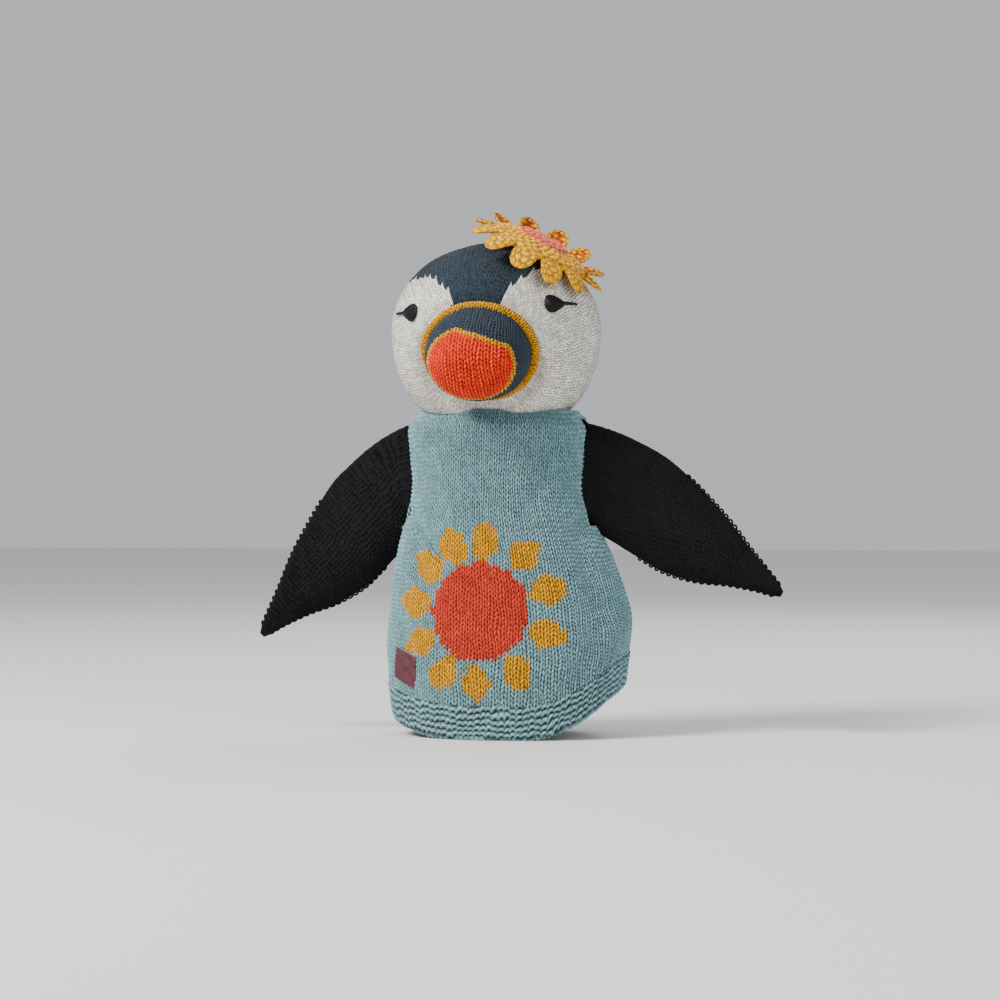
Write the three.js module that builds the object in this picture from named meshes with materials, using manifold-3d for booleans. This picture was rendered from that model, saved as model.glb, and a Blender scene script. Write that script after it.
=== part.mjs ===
// A knitted penguin hand puppet: a hollow dress that takes the hand, a stuffed head on a finger
// tube, a round beak, a flower hat, and two flippers that are finger pockets.
//
// Millimetres, +Z up. The puppet faces -Y and its own left side is +X. The origin is the centre
// of the hand opening, in the plane of the hem.

import * as THREE from "three";
import { mergeVertices } from "three/addons/utils/BufferGeometryUtils.js";
import Module from "manifold-3d";

const wasm = await Module();
wasm.setup();

// ---------------------------------------------------------------- driving dimensions

const GAP = 0.35; // clearance between pieces that are sewn or pressed together
const KNIT = 2.8; // thickness of the knitted fabric
const FILL_GAP = 2; // clearance round the stuffing inside its cover
const FAR = 400; // bigger than the puppet, for half spaces that cut

// Dress: half width and half depth of its oval section at each height.
const DRESS_HEIGHTS = [-12, 0, 20, 45, 78, 101, 120, 140, 165, 186];
const DRESS_HALF_WIDTHS = [65, 67, 69.5, 71.5, 68, 63.5, 57.5, 52, 52.5, 50];
const DRESS_HALF_DEPTHS = [46, 46.5, 47, 47, 44.5, 42, 39.5, 37, 36.5, 36];
const DRESS_TOP = 167;
const DRESS_SIDES = 36;
const DRESS_STEP = 20;
const HEM_TOP = 19;
const HEM_KNIT = 3.4;
const HEM_PROUD = 0.4; // the garter-stitch hem is a little thicker than the panels
const HITCH = { left: 26, right: 9 }; // how far the hem rides up at each side
const HITCH_FLAT = 0.2; // share of the half width over which the hem lies flat
const HITCH_POWER = 1.9; // how late the rise sets in towards the side
const HITCH_BACK = 12; // how far the hem rides up at the back
const HITCH_FADE = [15, 115]; // heights between which the rise dies out
const SWAY = 5.5; // how far the skirt hangs over towards the left
const SWAY_FADE = [45, 150];
const SEAM_HALF_GAP = 1.2;
const SEAM_HALF_WIDTH = 0.8;
const SEAM_WALL = 4.4;

// Armholes and the flippers that leave through them.
const SHOULDER = new THREE.Vector3(50, 0, 152); // the left one
const ARMHOLE_BOTTOM = 121;
const ARMHOLE_HALF_WIDTH = 13.5;
const LEFT_DROOP = 31; // degrees below level, at rest
const RIGHT_DROOP = 45;
const ROOT_X = 43; // the flipper's root ends here, just inside the dress
const BLADE_START = 54; // distance from the shoulder to the end of the flexing root
const FLIPPER_LENGTH = 134;
const FLIPPER_KNIT = 2.4;
const FLIPPER_STATIONS = [-30, 0, 15, 35, 54, 70, 88, 105, 121, 134];
const FLIPPER_UPPER = [18, 27, 31.5, 33, 30.5, 26.5, 21, 14, 7, 2.5];
const FLIPPER_LOWER = [-20, -25, -26, -25.5, -25.5, -25, -20, -12, -6, -2.5];
const FLIPPER_HALF_THICKNESS = [9, 9.5, 10, 10.2, 10, 9, 7.6, 6, 4.4, 3];
const FLIPPER_SIDES = 16;
const FLIPPER_STEP = 14;
const EDGE_HALF_GAP = 1;
const EDGE_HALF_WIDTH = 0.65;
const EDGE_PROUD = 0.3;

// Neck: the gathered top edge of the dress, and the sewn ring that holds the head to it.
const NECK_JOIN = 175.5;
const NECK_TOP = 182.6;

// Head.
const HEAD_BOTTOM = 183;
const HEAD_CENTRE = new THREE.Vector3(-2.5, 0, 236);
const HEAD_HALF = new THREE.Vector3(62, 55, 52); // half width, half depth, half height
const CHIN_DEPTH = 59; // half height of the lower half, before the flat underside cuts it
const CHIN_SQUARENESS = 0.35; // how much squarer the lower half is than an ellipsoid
const HEAD_SIDES = 28; // facets of the outer surface, and fewer inside
const HEAD_RINGS = 16;
const LINING_SIDES = 20;
const LINING_RINGS = 12;
const NECK_HOLE_RADIUS = 20;
const TUBE_OUTER = 12.5;
const TUBE_INNER = 10.5;
const TUBE_BOTTOM = 166;
const TUBE_TOP = 250;
const TUBE_SIDES = 16;

// Crown: the dark part of the head, a wedge above the beak that widens into the top and back.
const CROWN_HALF_ANGLE = 30; // degrees, about the beak's axis
const CROWN_TOP_Z = 265; // the head is dark above this plane
const CROWN_BACK_Y = 12; // and behind this one

// Beak: a blunt dome on an axis that points forwards and down.
const BEAK_PITCH = 18.5; // degrees below level
const BEAK_BASE = 42; // distance from the head's centre to the beak's base plane
const BEAK_RADIUS = 30;
const BEAK_FLATTEN = 0.84; // the beak's height as a share of its width
const BEAK_LENGTH = 39;
const BEAK_SQUARENESS = 2.6;
const BEAK_STEP = 6;
const STRIPE_START = 26;
const STRIPE_END = 28.5;
const BEAK_SIDES = 24;
const RIM_RADIUS = 32.3;
const RIM_TUBE = 1.8;
const RIM_OFFSET = 2.6; // the rim's plane, ahead of the beak's base plane
const RIM_ROOM = 0.6; // clearance round the rim in the head's cover

// Eyes: a satin-stitched pad with one long straight stitch as a lash.
const EYE_AZIMUTH = { left: 46.5, right: 44.5 }; // degrees to each side of the front
const EYE_ELEVATION = { left: 13, right: 8.5 }; // the face is sewn on a little askew
const EYE_HALF = new THREE.Vector3(3.7, 4.9, 1.7);
const LASH_LENGTH = 12;
const LASH_RADIUS = 0.8;
const LASH_BESIDE = 10.7; // degrees from the pad's middle to the lash's
const LASH_LIFT = 1.6; // height of the lash's axis over the head

// Flower hat, laid on the head at a tilt.
const HAT_TILT = 30; // degrees towards the puppet's left
const HAT_NOD = 6; // degrees forwards
const HAT_SEAT = new THREE.Vector3(26, -9, 43); // direction from the head's centre to the hat's
const HAT_RADIUS = 28;
const HAT_SAG = 160; // radius of curvature, doubled, of the hat's shallow dome
const HAT_THICKNESS = 3;
const HAT_LIFT = 4.2; // clearance over the head at the hat's centre
const HAT_CENTRE_RADIUS = 14.5;
const HAT_CENTRE_THICKNESS = 1.4;
const PETALS = 12;
const PETAL_LENGTH = 17;
const PETAL_WIDTH = 12;
const PETAL_THICKNESS = 2.4;
const PETAL_UP = 48; // how far the petals at the back stand up, in degrees
const PETAL_DOWN = -14; // and how far those at the front hang
const PETAL_ROOT = 2.4; // gap between the disc's edge and a petal's root

// Woven label on the front panel, by the right side seam.
const LABEL_WIDTH = 18;
const LABEL_HEIGHT = 19;
const LABEL_THICKNESS = 0.8;
const LABEL_BOTTOM = 28;
const LABEL_MARGIN = 16; // how far the skin it is cut from reaches past it
const LABEL_ANGLE = 209; // degrees round the dress, from +X by way of the back

// ---------------------------------------------------------------- materials

const yarn = (colour, roughness = 0.95) =>
  new THREE.MeshStandardMaterial({ color: colour, roughness, metalness: 0 });

const SEA = yarn(0x8fb0b3);
const NAVY = yarn(0x2b3848);
const INK = yarn(0x171c24);
const CREAM = yarn(0xdcd7ca);
const YELLOW = yarn(0xe2a431);
const ORANGE = yarn(0xe4522a);
const SALMON = yarn(0xe58a78);
const FILL = yarn(0xf1efe9, 1);
const LINING = yarn(0xcfc8b8);
const BURGUNDY = yarn(0x6f1a30, 0.8);

// ---------------------------------------------------------------- solids and helpers

const rad = THREE.MathUtils.degToRad;

// A closed three.js geometry as a manifold-3d solid.
function solid(geometry) {
  const plain = geometry.clone();
  plain.deleteAttribute("normal");
  plain.deleteAttribute("uv");
  const merged = mergeVertices(plain, 1e-4);
  return new wasm.Manifold(
    new wasm.Mesh({
      numProp: 3,
      vertProperties: merged.attributes.position.array,
      triVerts: new Uint32Array(merged.index.array),
    }),
  );
}

function geometryOf(body) {
  const mesh = body.getMesh();
  const geometry = new THREE.BufferGeometry();
  geometry.setAttribute("position", new THREE.BufferAttribute(mesh.vertProperties, 3));
  geometry.setIndex(new THREE.BufferAttribute(mesh.triVerts, 1));
  geometry.computeVertexNormals();
  return geometry;
}

// The biggest of the separate bodies that a cut leaves.
function biggest(body) {
  return body.decompose().sort((a, b) => b.volume() - a.volume())[0];
}

// Adds a named piece, from a solid or a geometry, to a group.
function piece(group, name, shape, material) {
  const geometry = shape.isBufferGeometry ? shape : geometryOf(shape);
  const mesh = new THREE.Mesh(geometry, material);
  mesh.name = name;
  group.add(mesh);
}

function block(low, high) {
  const size = high.map((v, i) => v - low[i]);
  const centre = high.map((v, i) => (v + low[i]) / 2);
  return solid(new THREE.BoxGeometry(...size).translate(...centre));
}

// Revolves a profile of [radius, height] points about Z.
function revolve(points, sides) {
  const profile = points.map(([r, z]) => new THREE.Vector2(r, z));
  return new THREE.LatheGeometry(profile, sides).rotateX(Math.PI / 2);
}

// Moves each vertex of a geometry by a function of its position.
function deform(geometry, move) {
  const position = geometry.attributes.position;
  const point = new THREE.Vector3();
  for (let i = 0; i < position.count; i++) {
    move(point.fromBufferAttribute(position, i));
    position.setXYZ(i, point.x, point.y, point.z);
  }
  return geometry;
}

// A smooth function through the given values.
function through(places, values) {
  const curve = new THREE.CubicInterpolant(places, values, 1, new Float32Array(1));
  return (at) => curve.evaluate(at)[0];
}

function steps(low, high, step) {
  const count = Math.ceil((high - low) / step);
  return Array.from({ length: count + 1 }, (_, i) => low + ((high - low) * i) / count);
}

// ---------------------------------------------------------------- dress

const halfWidth = through(DRESS_HEIGHTS, DRESS_HALF_WIDTHS);
const halfDepth = through(DRESS_HEIGHTS, DRESS_HALF_DEPTHS);

// The hem rides up at the sides and back, and the rise fades out higher up the dress.
function hitch(x, y, z) {
  const share = THREE.MathUtils.clamp(Math.abs(x) / halfWidth(z), HITCH_FLAT, 1);
  const side = ((share - HITCH_FLAT) / (1 - HITCH_FLAT)) ** HITCH_POWER;
  const backness = THREE.MathUtils.clamp((1 + y / halfDepth(z)) / 2, 0, 1);
  const fade = 1 - THREE.MathUtils.smoothstep(z, ...HITCH_FADE);
  return ((x > 0 ? HITCH.left : HITCH.right) * side + HITCH_BACK * backness ** 2) * fade;
}

// Gives a round tube or plug the dress's oval section.
function toOval(geometry) {
  return deform(geometry, (p) => {
    const r = Math.hypot(p.x, p.y);
    if (r > 0) p.y *= (halfDepth(p.z) + r - halfWidth(p.z)) / r;
    const rise = hitch(p.x, p.y, p.z);
    p.x += SWAY * (1 - THREE.MathUtils.smoothstep(p.z, ...SWAY_FADE));
    p.z += rise;
  });
}

// The dress's outer shape as one plug, grown by a margin.
function dressPlug(low, high, margin) {
  const rim = steps(low, high, DRESS_STEP).map((z) => [halfWidth(z) + margin, z]);
  return toOval(revolve([[0, low], ...rim, [0, high]], DRESS_SIDES));
}

// A tube of the dress's section, grown by a margin and with the given wall.
function dressTube(low, high, margin, wall) {
  const heights = steps(low, high, DRESS_STEP);
  const outer = heights.map((z) => [halfWidth(z) + margin, z]);
  const inner = heights.map((z) => [halfWidth(z) + margin - wall, z]).reverse();
  return toOval(revolve([...outer, ...inner, outer[0]], DRESS_SIDES));
}

function sideSeam(side) {
  const top = ARMHOLE_BOTTOM - GAP;
  const ends = [side * 20, side * 100].sort((a, b) => a - b);
  const slab = block([ends[0], -SEAM_HALF_WIDTH, -10], [ends[1], SEAM_HALF_WIDTH, top + 10]);
  return solid(dressTube(0, top, HEM_PROUD, SEAM_WALL)).intersect(slab);
}

// A patch of a thin skin over the front panel, cut out by a block that points at it.
function sideLabel() {
  const top = LABEL_BOTTOM + LABEL_HEIGHT;
  const proud = HEM_PROUD + GAP + LABEL_THICKNESS;
  const skin = dressTube(LABEL_BOTTOM - LABEL_MARGIN, top + LABEL_MARGIN, proud, LABEL_THICKNESS);
  const stamp = new THREE.BoxGeometry(70, LABEL_WIDTH, LABEL_HEIGHT);
  stamp.translate(60, 0, LABEL_BOTTOM + LABEL_HEIGHT / 2);
  return solid(skin).intersect(solid(stamp.rotateZ(rad(LABEL_ANGLE))));
}

function buildDress() {
  const dress = new THREE.Group();
  const front = block([-FAR, -FAR, -FAR], [FAR, -SEAM_HALF_GAP, FAR]);
  const back = block([-FAR, SEAM_HALF_GAP, -FAR], [FAR, FAR, FAR]);
  const armholes = block(
    [-FAR, -ARMHOLE_HALF_WIDTH, ARMHOLE_BOTTOM],
    [FAR, ARMHOLE_HALF_WIDTH, FAR],
  );
  const panels = solid(dressTube(HEM_TOP + GAP, DRESS_TOP, 0, KNIT)).subtract(armholes);
  const hem = solid(dressTube(0, HEM_TOP, HEM_PROUD, HEM_KNIT));
  piece(dress, "dress_front", panels.intersect(front), SEA);
  piece(dress, "dress_back", panels.intersect(back), SEA);
  piece(dress, "hem_band_front", hem.intersect(front), SEA);
  piece(dress, "hem_band_back", hem.intersect(back), SEA);
  piece(dress, "side_seam_left", sideSeam(1), SEA);
  piece(dress, "side_seam_right", sideSeam(-1), SEA);
  piece(dress, "side_label", sideLabel(), BURGUNDY);
  piece(dress, "neck_gather", dressTube(DRESS_TOP + GAP, NECK_JOIN, 0, KNIT), SEA);
  piece(dress, "neck_seam", dressTube(NECK_JOIN + GAP, NECK_TOP, 0, KNIT), CREAM);
  return dress;
}

// ---------------------------------------------------------------- flippers

const upperEdge = through(FLIPPER_STATIONS, FLIPPER_UPPER);
const lowerEdge = through(FLIPPER_STATIONS, FLIPPER_LOWER);
const halfThickness = through(FLIPPER_STATIONS, FLIPPER_HALF_THICKNESS);

// A solid leaf of oval section along +X between two distances from the shoulder.
function leaf(start, end, inset) {
  const rim = steps(start, end, FLIPPER_STEP).map((s) => [1, s]);
  const pod = revolve([[0, start], ...rim, [0, end]], FLIPPER_SIDES).rotateY(Math.PI / 2);
  return deform(pod, (p) => {
    const middle = (upperEdge(p.x) + lowerEdge(p.x)) / 2;
    p.z = middle + p.z * Math.max(0.8, (upperEdge(p.x) - lowerEdge(p.x)) / 2 - inset);
    p.y *= Math.max(0.6, halfThickness(p.x) - inset);
  });
}

// The leaf's knitted wall, open at the shoulder end and closed at the tip.
function leafWall(start, end, grow, wall) {
  const innerEnd = end < FLIPPER_LENGTH ? end + 1 : end - wall - 1;
  return solid(leaf(start, end, -grow)).subtract(solid(leaf(start - 1, innerEnd, wall - grow)));
}

function buildFlipper(side, droop) {
  const name = side > 0 ? "left" : "right";
  const flipper = new THREE.Group();
  flipper.position.set(side * SHOULDER.x, SHOULDER.y, SHOULDER.z);
  flipper.rotation.set(0, rad(droop), side > 0 ? 0 : Math.PI, "ZYX");
  flipper.updateMatrix();
  const toFlipper = flipper.matrix.clone().invert();
  const inFlipper = (geometry) => solid(geometry.applyMatrix4(toFlipper));

  const cavity = inFlipper(new THREE.BoxGeometry(2 * ROOT_X, FAR, FAR));
  const skirt = inFlipper(dressPlug(HEM_TOP, ARMHOLE_BOTTOM + GAP, 2 * GAP));
  const neck = inFlipper(dressPlug(DRESS_TOP, NECK_TOP, 2 * GAP));
  const keepOut = cavity.add(skirt).add(neck);
  const sleeve = leafWall(FLIPPER_STATIONS[0], BLADE_START - GAP, 0, FLIPPER_KNIT);
  const blade = leafWall(BLADE_START, FLIPPER_LENGTH, 0, FLIPPER_KNIT);
  const edge = block([-FAR, -EDGE_HALF_WIDTH, -FAR], [FAR, EDGE_HALF_WIDTH, FAR]);
  const ridge = leafWall(BLADE_START, FLIPPER_LENGTH, EDGE_PROUD, FLIPPER_KNIT + 2 * EDGE_PROUD);
  const front = block([-FAR, -FAR, -FAR], [FAR, -EDGE_HALF_GAP, FAR]);
  const back = block([-FAR, EDGE_HALF_GAP, -FAR], [FAR, FAR, FAR]);
  const [firstHalf, secondHalf] = side > 0 ? [front, back] : [back, front];
  piece(flipper, `flipper_${name}_root`, biggest(sleeve.subtract(keepOut)), INK);
  piece(flipper, `flipper_${name}_front`, blade.intersect(firstHalf), INK);
  piece(flipper, `flipper_${name}_back`, blade.intersect(secondHalf), INK);
  piece(flipper, `flipper_${name}_seam`, ridge.intersect(edge), INK);
  return flipper;
}

// ---------------------------------------------------------------- head

// The head's surface along a direction from its centre, grown by a margin.
function headPoint(direction, margin) {
  const d = direction.clone().normalize();
  const power = 2 + CHIN_SQUARENESS * THREE.MathUtils.smoothstep(-d.z, 0, 0.8);
  const share = (value, half) => Math.abs(value / (half + margin)) ** power;
  const halfHeight = d.z > 0 ? HEAD_HALF.z : CHIN_DEPTH;
  const sum = share(d.x, HEAD_HALF.x) + share(d.y, HEAD_HALF.y) + share(d.z, halfHeight);
  const p = d.multiplyScalar(sum ** (-1 / power)).add(HEAD_CENTRE);
  p.z = Math.max(p.z, HEAD_BOTTOM - margin);
  return p;
}

function headBall(margin, sides = HEAD_SIDES, rings = HEAD_RINGS) {
  const ball = new THREE.SphereGeometry(1, sides, rings).rotateX(Math.PI / 2);
  return solid(deform(ball, (p) => p.copy(headPoint(p, margin))));
}

// Turns and moves a geometry drawn about Z so that it lies along the beak's axis.
function alongBeak(geometry) {
  const squashed = geometry.scale(1, BEAK_FLATTEN, 1);
  return squashed.rotateX(rad(90 + BEAK_PITCH)).translate(...HEAD_CENTRE.toArray());
}

// The beak's radius at a distance from its base, shrunk by an inset.
function beakRadius(at, inset) {
  const share = Math.min(1, at / (BEAK_LENGTH - inset));
  return (BEAK_RADIUS - inset) * (1 - share ** BEAK_SQUARENESS) ** (1 / BEAK_SQUARENESS);
}

function beakProfile(start, end, inset) {
  return steps(start, end, BEAK_STEP).map((at) => [beakRadius(at, inset), BEAK_BASE + at]);
}

// A ring of the beak's knitted cover, or its closed end when it reaches the tip.
function beakCover(start, end) {
  const innerEnd = end < BEAK_LENGTH ? end : BEAK_LENGTH - KNIT;
  const outer = beakProfile(start, end, 0);
  const inner = beakProfile(start, innerEnd, KNIT).reverse();
  return alongBeak(revolve([...outer, ...inner, outer[0]], BEAK_SIDES));
}

function beakStuffing() {
  const inset = KNIT + GAP;
  const rim = beakProfile(0, BEAK_LENGTH - inset, inset);
  return alongBeak(revolve([[0, BEAK_BASE], ...rim], BEAK_SIDES));
}

// A plug along the beak's axis, from a distance off the head's centre outwards.
function beakPlug(radius, from) {
  return solid(alongBeak(revolve([[0, from], [radius, from], [radius, 120], [0, 120]], BEAK_SIDES)));
}

// Everything that is dark on the head: a wedge upwards from the beak's axis, the top, the back.
function crownRegion(margin) {
  const reach = 130;
  const angle = rad(CROWN_HALF_ANGLE);
  const apex = -margin / Math.sin(angle);
  const spread = Math.tan(angle) * (reach - apex);
  const outline = new THREE.Shape([
    new THREE.Vector2(0, apex),
    new THREE.Vector2(spread, reach),
    new THREE.Vector2(-spread, reach),
  ]);
  const wedge = new THREE.ExtrudeGeometry(outline, { depth: 2 * reach, bevelEnabled: false });
  const top = block([-FAR, -FAR, CROWN_TOP_Z - margin], [FAR, FAR, FAR]);
  const back = block([-FAR, CROWN_BACK_Y - margin, 0], [FAR, FAR, FAR]);
  return solid(alongBeak(wedge.translate(0, 0, -reach))).add(top).add(back);
}

// Moves a shape, drawn flat in XY with +Z outwards, onto the head's surface.
function onHead(shape, azimuth, elevation) {
  const direction = new THREE.Vector3().setFromSphericalCoords(
    1,
    rad(90 - elevation),
    rad(azimuth),
  );
  const at = headPoint(new THREE.Vector3(direction.x, -direction.z, direction.y), 0);
  const normal = at.clone().sub(HEAD_CENTRE).divide(HEAD_HALF).divide(HEAD_HALF).normalize();
  const right = new THREE.Vector3(0, 0, 1).cross(normal).normalize();
  const up = normal.clone().cross(right);
  return shape.applyMatrix4(new THREE.Matrix4().makeBasis(right, up, normal).setPosition(at));
}

// The lash lies along the head, beside the pad.
function lash(side, name) {
  const rod = new THREE.CylinderGeometry(LASH_RADIUS, LASH_RADIUS, LASH_LENGTH, 6);
  rod.rotateZ(Math.PI / 2).translate(0, 0, LASH_LIFT);
  return onHead(rod, side * (EYE_AZIMUTH[name] + LASH_BESIDE), EYE_ELEVATION[name]);
}

function fingerTube() {
  const ceiling = TUBE_TOP - TUBE_OUTER + TUBE_INNER;
  const outer = [[TUBE_INNER, TUBE_BOTTOM], [TUBE_OUTER, TUBE_BOTTOM], [TUBE_OUTER, TUBE_TOP]];
  const inner = [[0, TUBE_TOP], [0, ceiling], [TUBE_INNER, ceiling], [TUBE_INNER, TUBE_BOTTOM]];
  return revolve([...outer, ...inner], TUBE_SIDES);
}

function rodUp(radius, low, high) {
  return solid(revolve([[0, low], [radius, low], [radius, high], [0, high]], TUBE_SIDES));
}

function buildHead() {
  const head = new THREE.Group();
  const rimRoom = beakPlug(RIM_RADIUS + RIM_TUBE + RIM_ROOM, 10);
  const neckHole = rodUp(NECK_HOLE_RADIUS, HEAD_BOTTOM - 20, HEAD_BOTTOM + 20);
  const lining = headBall(-KNIT, LINING_SIDES, LINING_RINGS);
  const cover = headBall(0).subtract(lining).subtract(neckHole).subtract(rimRoom);
  piece(head, "head_crown", cover.intersect(crownRegion(0)), NAVY);
  piece(head, "head_face", cover.subtract(crownRegion(GAP)), CREAM);

  const tubeRoom = rodUp(TUBE_OUTER + GAP, TUBE_BOTTOM, TUBE_TOP + GAP);
  const ball = headBall(-KNIT - FILL_GAP, LINING_SIDES, LINING_RINGS);
  const beakRoom = beakPlug(RIM_RADIUS + RIM_TUBE + RIM_ROOM, BEAK_BASE - GAP);
  piece(head, "head_stuffing", ball.subtract(tubeRoom).subtract(beakRoom), FILL);
  piece(head, "finger_tube", fingerTube(), LINING);

  piece(head, "beak_band", beakCover(0, STRIPE_START - GAP), NAVY);
  piece(head, "beak_stripe", beakCover(STRIPE_START, STRIPE_END), YELLOW);
  piece(head, "beak_tip", beakCover(STRIPE_END + GAP, BEAK_LENGTH), ORANGE);
  piece(head, "beak_stuffing", beakStuffing(), FILL);
  const rim = new THREE.TorusGeometry(RIM_RADIUS, RIM_TUBE, 6, BEAK_SIDES);
  piece(head, "beak_rim", alongBeak(rim.translate(0, 0, BEAK_BASE + RIM_OFFSET)), YELLOW);

  const clearOfHead = headBall(GAP);
  for (const side of [1, -1]) {
    const name = side > 0 ? "left" : "right";
    const pad = new THREE.SphereGeometry(1, 12, 8).scale(...EYE_HALF.toArray());
    onHead(pad, side * EYE_AZIMUTH[name], EYE_ELEVATION[name]);
    piece(head, `eye_${name}`, solid(pad).subtract(clearOfHead), INK);
    piece(head, `lash_${name}`, lash(side, name), INK);
  }
  head.add(buildHat());
  return head;
}

// ---------------------------------------------------------------- hat

// A disc with a shallow dome, its centre at the origin.
function hatDisc(low, high, radius) {
  const domed = (height) => (r) => [r, height - (r * r) / HAT_SAG];
  const stops = steps(0, radius, 10);
  return revolve([...stops.map(domed(low)), ...stops.reverse().map(domed(high))], 24);
}

// A pointed petal. Those at the back of the hat stand up, and those at the front hang.
function petal(index) {
  const around = (2 * Math.PI * index) / PETALS;
  const backness = (1 + Math.sin(around)) / 2;
  const lift = THREE.MathUtils.lerp(PETAL_DOWN, PETAL_UP, backness ** 2);
  const outline = new THREE.Shape();
  outline.moveTo(0, -PETAL_WIDTH * 0.36);
  outline.quadraticCurveTo(PETAL_LENGTH * 0.5, -PETAL_WIDTH * 0.62, PETAL_LENGTH, -0.8);
  outline.lineTo(PETAL_LENGTH, 0.8);
  outline.quadraticCurveTo(PETAL_LENGTH * 0.5, PETAL_WIDTH * 0.62, 0, PETAL_WIDTH * 0.36);
  const options = { depth: PETAL_THICKNESS, bevelEnabled: false, curveSegments: 4 };
  const shape = new THREE.ExtrudeGeometry(outline, options).rotateY(-rad(lift));
  shape.translate(HAT_RADIUS + PETAL_ROOT, 0, -(HAT_RADIUS ** 2) / HAT_SAG);
  return shape.rotateZ(around);
}

function buildHat() {
  const hat = new THREE.Group();
  const centreLow = HAT_THICKNESS + GAP;
  const centreHigh = centreLow + HAT_CENTRE_THICKNESS;
  piece(hat, "hat_disc", hatDisc(0, HAT_THICKNESS, HAT_RADIUS), YELLOW);
  piece(hat, "hat_centre", hatDisc(centreLow, centreHigh, HAT_CENTRE_RADIUS), SALMON);
  for (let i = 0; i < PETALS; i++) {
    piece(hat, `hat_petal_${String(i + 1).padStart(2, "0")}`, petal(i), YELLOW);
  }
  const up = new THREE.Vector3(0, 0, 1);
  const normal = up.clone().applyEuler(new THREE.Euler(rad(HAT_NOD), rad(HAT_TILT), 0));
  hat.quaternion.setFromUnitVectors(up, normal);
  hat.position.copy(headPoint(HAT_SEAT, 0).addScaledVector(normal, HAT_LIFT));
  return hat;
}

const puppet = new THREE.Group();
puppet.add(buildDress(), buildHead());
puppet.add(buildFlipper(1, LEFT_DROOP), buildFlipper(-1, RIGHT_DROOP));

export default puppet;
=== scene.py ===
"""The looks of a knitted penguin hand puppet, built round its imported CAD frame.

Lengths are in millimetres until a mesh is made. The puppet faces -Y, its own left side is +X,
and the hem's lowest point is at height 0. A knitted surface is a grid in stitch units: its columns
run across the wales and its lines along the rows, so every stitch is the same patch of the grid.
"""

import math

import bpy
import numpy as np
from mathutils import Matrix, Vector


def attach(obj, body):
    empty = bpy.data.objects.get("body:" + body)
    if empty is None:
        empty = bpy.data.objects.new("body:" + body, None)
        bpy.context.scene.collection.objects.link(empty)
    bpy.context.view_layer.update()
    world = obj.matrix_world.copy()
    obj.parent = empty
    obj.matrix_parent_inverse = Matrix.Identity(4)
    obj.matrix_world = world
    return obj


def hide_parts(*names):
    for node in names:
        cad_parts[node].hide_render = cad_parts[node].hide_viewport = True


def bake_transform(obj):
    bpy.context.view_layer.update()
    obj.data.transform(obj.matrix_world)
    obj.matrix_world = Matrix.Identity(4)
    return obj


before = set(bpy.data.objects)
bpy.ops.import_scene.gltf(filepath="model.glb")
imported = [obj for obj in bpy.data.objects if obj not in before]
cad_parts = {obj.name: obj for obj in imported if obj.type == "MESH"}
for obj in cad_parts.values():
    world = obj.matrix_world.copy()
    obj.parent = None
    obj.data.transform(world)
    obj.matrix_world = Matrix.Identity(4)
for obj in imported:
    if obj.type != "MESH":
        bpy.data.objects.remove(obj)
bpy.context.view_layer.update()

MM = 0.001
RANDOM = np.random.default_rng(11)

# ---------------------------------------------------------------- sizes

# Stitches.
ACROSS = 8  # grid points across one wale
ALONG = 4  # grid points along one row
LEAN = 2  # rows that a leg of a stitch climbs across one whole wale
ROW = 2.7  # height of one row
STITCH_DEPTH = 1.5
FULL_WALE = 2.8  # wales narrower than this have a shallower relief
UNEVEN = 0.12  # how far the hand knitting strays, in stitches
FABRIC = 2.8

# Dress: half width and half depth of its oval section at each height.
DRESS_HEIGHTS = [-12, 0, 20, 45, 78, 101, 120, 140, 165, 186, 192]
DRESS_HALF_WIDTHS = [65, 67, 69.5, 71.5, 68, 63.5, 57.5, 52, 53, 54.5, 54.5]
DRESS_HALF_DEPTHS = [46, 46.5, 47, 47, 44.5, 42, 39.5, 37, 37.5, 40, 40]
TYPICAL_HALF = (60, 43)  # half width and half depth by which the wales are spread evenly
PANEL_WALES = 54
HEM_TOP = 19
HEM_RIDGES = 5
COLLAR_TOP = 189
HITCH_LEFT = 26  # how far the hem rides up at the left side
HITCH_RIGHT = 9
HITCH_FLAT = 0.2  # share of the half width over which the hem lies flat
HITCH_POWER = 1.9
HITCH_BACK = 12
HITCH_FADE = (15, 115)
SWAY = 5.5  # how far the skirt hangs over towards the left
SWAY_FADE = (45, 150)
ARM_WALES = 4  # wales left out of each panel's side edge for the armhole
ARMHOLE_BOTTOM = 121
INSIDE_WALES = 18  # the inside is only seen from below, so its stitches are coarse
INSIDE_ROWS = 23
INSIDE_ROW = 7
INSIDE_BOTTOM = 2.5
INSIDE_EDGE = 1.8  # wales left out for the armhole
YOKE_BOTTOM = 150  # from here up the dress is cut as its yoke pieces, and
COLLAR_BOTTOM = 169  # from here up as its collar pieces
COLLAR_END = 185

# Sun motif on the front panel: a disc with a ring of separate petals.
SUN = (-2.5, 72)
SUN_RADIUS = 28.5
SUN_PETAL_AT = 40.5
SUN_PETAL_HALF = (8.4, 10.8)  # half width and half length, which lies outwards
SUN_PETAL_ANGLES = [114, 87, 52, 18, -18, -57, -92, -121, -154, 173, 141]

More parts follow.
